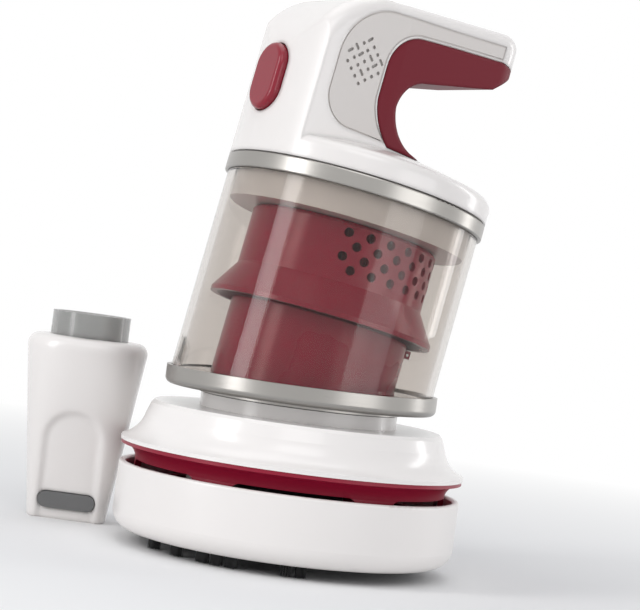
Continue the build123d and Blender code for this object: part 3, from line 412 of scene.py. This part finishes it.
# Filter: a red cage of the riser's plastic, hung from the collar by three lugs, and a ring of
# pleats inside it. The pleats are a dark red filter paper with a felted face, folded and glued
# in at both ends, and show only through the cage's holes.
dress(red_gloss, "filter_cage")
felt = plastic("filter_felt", (0.34, 0.04, 0.045), 0.9, grain=0.0003, bump=0.35, vary=0.08)
dress(felt, "filter_pleats")

# Collar: the white ring at the hand unit's foot, with the plate that the filter hangs from.
# A satin moulding, held in the housing by its flange.
dress(white_satin, "collar")

# Motor: a drawn steel can on a dark plastic deck, which stands on the collar's flange. Its
# steel shaft carries a moulded bladed fan.
dress(steel, "motor", "motor_shaft")
dress(dark_plastic, "motor_deck", "impeller")

# Battery and board: two cells in shrunk blue wrap, on a dark plastic tray with four legs that
# stand on the deck. The control board, green lacquer on glass laminate, stands on the tray.
dress(dark_plastic, "battery_tray")
dress(plastic("cell_wrap", (0.03, 0.09, 0.26), 0.25, coat=0.4), "battery_cells")
dress(plastic("board", (0.01, 0.10, 0.04), 0.4, coat=0.3), "control_board")

# Power switch: a small boxed switch in dark plastic, behind the push button. A moulded
# bracket that stands on the battery tray holds it.
dress(dark_plastic, "power_switch", "switch_bracket")


# Housing: the white shell over motor and handle, injection moulded with a gloss skin. Its
# creases have soft radii from the mould, which a rounded shading normal gives here.
def soften_creases(look, radius):
    """Rounds the shading over the creases of a moulding."""
    tree = look.node_tree
    crease = add_node(tree, "Bevel", {"Radius": radius})
    crease.samples = 8
    relief = next(node for node in tree.nodes if node.bl_idname == "ShaderNodeBump")
    wire(tree, (crease, "Normal", relief, "Normal"))


shell_white = plastic("shell_white", (0.80, 0.77, 0.75), 0.26, bump=0.03, coat=0.3)
soften_creases(shell_white, 0.0022)
dress(shell_white, "housing")

# Side panels: the warm grey plates let into both sides, with a field of vents over the motor
# bay. Moulded with a fine matt grain and snapped in from outside.
grey_satin = plastic("grey_satin", (0.66, 0.625, 0.60), 0.42, bump=0.08)
dress(grey_satin, "side_panel_left", "side_panel_right")

# Seam laps: the shells meet over a grey lap moulded behind the narrow groove round each side
# panel, which makes the groove shallow. The lap follows the panel's outline, drawn in the
# hand unit's own frame: back from its axis and up from the upper ring's foot, in millimetres.
lean = math.radians(10.0)
lean_up = Vector((math.sin(lean), 0.0, math.cos(lean)))
lean_back = Vector((math.cos(lean), 0.0, -math.sin(lean)))
ring_point = Vector((10.158, 0.0, 115.111))
side_names = ((-1, "right"), (1, "left"))
slab_half, end_half = 20.5, 14.2
taper_from, taper_to = -10.0, 39.5
lap_depth, lap_thick, lap_half = 0.45, 0.5, 0.8
panel_outline = (
    ((-33.2, 41.0), (-33.2, 30.0)),
    ((-33.2, 30.0), (-30.4, 22.6), (-23.0, 19.3)),
    ((-23.0, 19.3), (-7.5, 19.3)),
    ((-7.5, 19.3), (-13.3, 25.4), (-15.25, 32.0)),
    ((-15.25, 32.0), (-15.25, 42.5)),
    ((-15.25, 42.5), (-12.5, 51.0), (-4.1, 55.7)),
    ((-4.1, 55.7), (8.0, 57.5)),
    ((8.0, 57.5), (31.0, 60.5)),
    ((31.0, 60.5), (31.0, 65.4)),
    ((31.0, 65.4), (9.6, 62.6)),
    ((9.6, 62.6), (-14.5, 59.8)),
    ((-14.5, 59.8), (-28.6, 53.2), (-33.2, 41.0)),
)


def arc_points(start, through, stop, steps=14):
    """Points of the circular arc from start to stop by way of a third point."""
    a, b, c = (complex(*point) for point in (start, through, stop))
    w = (c - a) / (b - a)
    centre = (b - a) * (w - abs(w) ** 2) / (w - w.conjugate()) + a
    first, middle, last = (cmath.phase(point - centre) for point in (a, b, c))
    sweep = (last - first) % (2 * math.pi)
    if (middle - first) % (2 * math.pi) > sweep:
        sweep -= 2 * math.pi
    arc = [centre + cmath.rect(abs(a - centre), first + sweep * k / steps) for k in range(steps)]
    return [(point.real, point.imag) for point in arc]


def pick(piece):
    """Makes a piece the only one selected."""
    bpy.ops.object.select_all(action="DESELECT")
    piece.select_set(True)
    bpy.context.view_layer.objects.active = piece


def apply_modifier(piece, kind, **settings):
    """Adds one modifier to a piece and applies it."""
    pick(piece)
    bpy.ops.object.modifier_add(type=kind)
    modifier = piece.modifiers[-1]
    for name, value in settings.items():
        setattr(modifier, name, value)
    bpy.ops.object.modifier_apply(modifier=modifier.name)


def select_beyond(piece, way, limit):
    """Selects the corners of an open piece that lie beyond a limit along its own axes."""
    bpy.ops.mesh.select_all(action="DESELECT")
    shape = bmesh.from_edit_mesh(piece.data)
    for corner in shape.verts:
        corner.select_set(corner.co.dot(way) > limit)
    shape.select_flush(True)
    bmesh.update_edit_mesh(piece.data)


def side_place(hand):
    """Takes a flat drawing of one side to the hand unit: back, up, outwards, mm to metres."""
    ways = (lean_back, lean_up, Vector((0, hand, 0)), ring_point)
    rows = [[way[k] * 0.001 for way in ways] for k in range(3)]
    return Matrix((*rows, (0, 0, 0, 1)))


lap_line = []
for stretch in panel_outline:
    lap_line += arc_points(*stretch) if len(stretch) == 3 else [stretch[0]]
taper_fall = math.atan((slab_half - end_half) / (taper_to - taper_from))
taper_hinge = (taper_from, 0, slab_half - lap_depth - lap_thick / 2)
for hand, side_name in side_names:
    drawn = bpy.data.curves.new(f"seam_lap_{side_name}", "CURVE")
    drawn.dimensions = "2D"
    drawn.fill_mode = "NONE"
    drawn.extrude = lap_thick / 2
    loop = drawn.splines.new("POLY")
    loop.use_cyclic_u = True
    loop.points.add(len(lap_line) - 1)
    for corner, (x, z) in zip(loop.points, lap_line):
        corner.co = (x, z, 0, 1)
    lap = add_object(f"seam_lap_{side_name}", drawn)
    lap.location.z = taper_hinge[2]
    pick(lap)
    bpy.ops.object.convert(target="MESH")
    apply_modifier(lap, "SOLIDIFY", thickness=2 * lap_half, offset=0.0)
    bpy.ops.object.mode_set(mode="EDIT")
    bpy.ops.mesh.select_all(action="SELECT")
    bpy.ops.mesh.bisect(plane_co=taper_hinge, plane_no=(1, 0, 0))
    select_beyond(lap, Vector((1, 0, 0)), taper_from)
    bpy.ops.transform.rotate(value=-taper_fall, orient_axis="Y", center_override=taper_hinge)
    bpy.ops.transform.resize(value=(1 / math.cos(taper_fall), 1, 1),
                             center_override=taper_hinge)
    end_piece(lap, grey_satin, side_place(hand))
    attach(lap, "hand_unit")

# Vent sheets: a thin sheet behind the vents of each side panel, in a grey darker than the
# panel's, so that the vents read as shallow pressed marks. That darker grey is painted shade. An
# oval with a broken edge.
vent_back, vent_up = -23.4, 41.0
sheet_wide, sheet_tall = 7.8, 9.6
sheet_depth, sheet_thick = 0.75, 0.3
# Darker than the panel's grey: painted shade on the floor of the vents.
painted_vent_shade = plastic("painted_vent_shade", (0.40, 0.385, 0.37), 0.6, bump=0.05)
for hand, side_name in side_names:
    sheet = start_piece(
        f"vent_shade_sheet_{side_name}", bpy.ops.mesh.primitive_cylinder_add, vertices=48, radius=1,
        depth=sheet_thick,
        location=(vent_back, vent_up, slab_half - sheet_depth - sheet_thick / 2))
    bpy.ops.transform.resize(value=(sheet_wide, sheet_tall, 1))
    bpy.ops.object.mode_set(mode="OBJECT")
    apply_modifier(sheet, "BEVEL", width=sheet_thick / 4)
    end_piece(sheet, painted_vent_shade, side_place(hand))
    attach(sheet, "hand_unit")

# Grip lining: the dark red C round the finger gap, where the hand holds the unit. A soft
# rubbery plastic with a matt touch, moulded over the housing's inner edge.
soft_red = plastic("soft_red", (0.15, 0.004, 0.014), 0.5, grain=0.0004, bump=0.10, shine=0.25)
soften_creases(soft_red, 0.0018)
dress(soft_red, "grip_insert")

# Charging inlet: a rounded steel socket in the handle's end. It is drawn from sheet and held
# behind the wall by its flange.
dress(steel, "charge_port")

# Push button: a pill-shaped cap through the housing's front, with a stem to the switch. A
# brighter red, moulded and polished, held behind the wall by its flange.
bright_red = plastic("bright_red", (0.24, 0.005, 0.020), 0.24, bump=0.01, coat=0.2, shine=0.35)
dress(bright_red, "power_button")

# Crevice nozzle: a white gloss duckbill, blow moulded hollow, that stands on its mouth beside
# the head. Its mouth is a squared oval, its shoulders are nearly round, and its front has a
# shallow thumb recess, so a round blank is drawn up ring by ring and pressed into that form.
nozzle_low, nozzle_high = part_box("nozzle_body")
nozzle_turn = math.radians(-32.0)
nozzle_side = Vector((math.cos(nozzle_turn), math.sin(nozzle_turn), 0))
nozzle_back = Vector((-nozzle_side.y, nozzle_side.x, 0))
nozzle_mid = (Vector(nozzle_low) + Vector(nozzle_high)) / 2
nozzle_mid.z = 0.0
nozzle_tall = nozzle_high[2]
nozzle_sides = 128
mouth_half, top_half = (0.0130, 0.0075), (0.0205, 0.0165)
mouth_square, top_square = 3.6, 2.2
lip_in, lip_high = 0.0004, 0.0005
shoulder = 0.0042
neck_half = 0.0128
roof_thick, wall_thick = 0.0018, 0.0028
side_levels, shoulder_levels, inner_levels = 90, 8, 19
recess_half, recess_top, recess_depth = 0.0092, 0.036, 0.0016
recess_edge = (-0.0012, 0.0014)


def smooth_step(low, high, value):
    """Eases from 0 to 1 between two values."""
    share = min(1.0, max(0.0, (value - low) / (high - low)))
    return share * share * (3 - 2 * share)


def press(corner):
    """Moves a point of the round blank onto the mould's form, with the thumb recess."""
    radius = corner.co.xy.length
    share = corner.co.z / nozzle_tall
    square = mouth_square + (top_square - mouth_square) * share
    spread = []
    for low, high, way in zip(mouth_half, top_half, corner.co.xy / radius):
        half = low + (high - low) * share + radius - top_half[0]
        spread.append(half * math.copysign(abs(way) ** (2 / square), way))
    if spread[1] < 0:
        reach = math.hypot(spread[0], max(0.0, corner.co.z - recess_top + recess_half))
        outside = smooth_step(recess_half + recess_edge[0], recess_half + recess_edge[1], reach)
        spread[1] += recess_depth * (1 - outside)
    corner.co.xy = spread


blank = [(top_half[0], lip_high + (nozzle_tall - shoulder - lip_high) * k / side_levels)
         for k in range(side_levels + 1)]
for k in range(1, shoulder_levels + 1):
    turn = math.pi / 2 * k / shoulder_levels
    blank.append((top_half[0] - shoulder * (1 - math.cos(turn)),
                  nozzle_tall - shoulder * (1 - math.sin(turn))))
blank += [(neck_half, nozzle_tall), (neck_half, nozzle_tall - roof_thick)]
blank += [(top_half[0] - wall_thick, (nozzle_tall - wall_thick) * (1 - k / inner_levels))
          for k in range(inner_levels + 1)]
radius, height = top_half[0] - lip_in, 0.0
nozzle_shell = start_piece(
    "nozzle_shell", bpy.ops.mesh.primitive_circle_add, vertices=nozzle_sides, radius=radius,
    location=nozzle_mid, rotation=(0, 0, nozzle_turn))
for next_radius, next_height in blank:
    grow = next_radius / radius
    bpy.ops.mesh.extrude_edges_move(
        TRANSFORM_OT_translate={"value": (0, 0, next_height - height)})
    bpy.ops.transform.resize(value=(grow, grow, 1))
    radius, height = next_radius, next_height
bpy.ops.mesh.select_all(action="DESELECT")
bpy.ops.mesh.select_non_manifold()
bpy.ops.mesh.bridge_edge_loops()
shape = bmesh.from_edit_mesh(nozzle_shell.data)
for corner in shape.verts:
    if corner.co.xy.length > neck_half + lip_in:
        press(corner)
bmesh.update_edit_mesh(nozzle_shell.data)
end_piece(nozzle_shell, shell_white)

# Window: a grey tinted pane, snapped into a slot that is cut through the nozzle's front wall
# over its mouth. The slot has round ends and is a little wider than the pane.
window_low, window_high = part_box("nozzle_window")
window_up = (window_low[2] + window_high[2]) / 2
slot_half, slot_round = 0.0097, 0.0029
cut_out, cut_in = 0.012, 0.0045
cutter = start_piece(
    "slot_cutter", bpy.ops.mesh.primitive_cylinder_add, vertices=48, radius=slot_round,
    depth=cut_out - cut_in, rotation=(math.pi / 2, 0, nozzle_turn),
    location=nozzle_mid - nozzle_back * (cut_out + cut_in) / 2 + Vector((0, 0, window_up)))
for end in (-1, 1):
    select_beyond(cutter, Vector((end, 0, 0)), merge_within)
    bpy.ops.transform.translate(value=nozzle_side * end * (slot_half - slot_round))
end_piece(cutter, shell_white)
apply_modifier(nozzle_shell, "BOOLEAN", object=cutter, solver="EXACT")
bpy.data.objects.remove(cutter)
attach(nozzle_shell, "nozzle")
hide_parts("nozzle_body")
dress(plastic("window_grey", (0.12, 0.12, 0.12), 0.2, coat=0.5), "nozzle_window")

# Nozzle neck: a short tube of misty grey clear plastic, moulded by itself and pushed into the
# nozzle's top. It plugs into the head's inlet when the nozzle is in use.
misty = bpy.data.materials.new("misty_clear")
misty.use_nodes = True
set_sockets(misty.node_tree.nodes["Principled BSDF"], {
    "Base Color": (0.55, 0.55, 0.54, 1),
    "Transmission Weight": 0.75,
    "Roughness": 0.18,
    "IOR": 1.4,
})
dress(misty, "nozzle_neck")
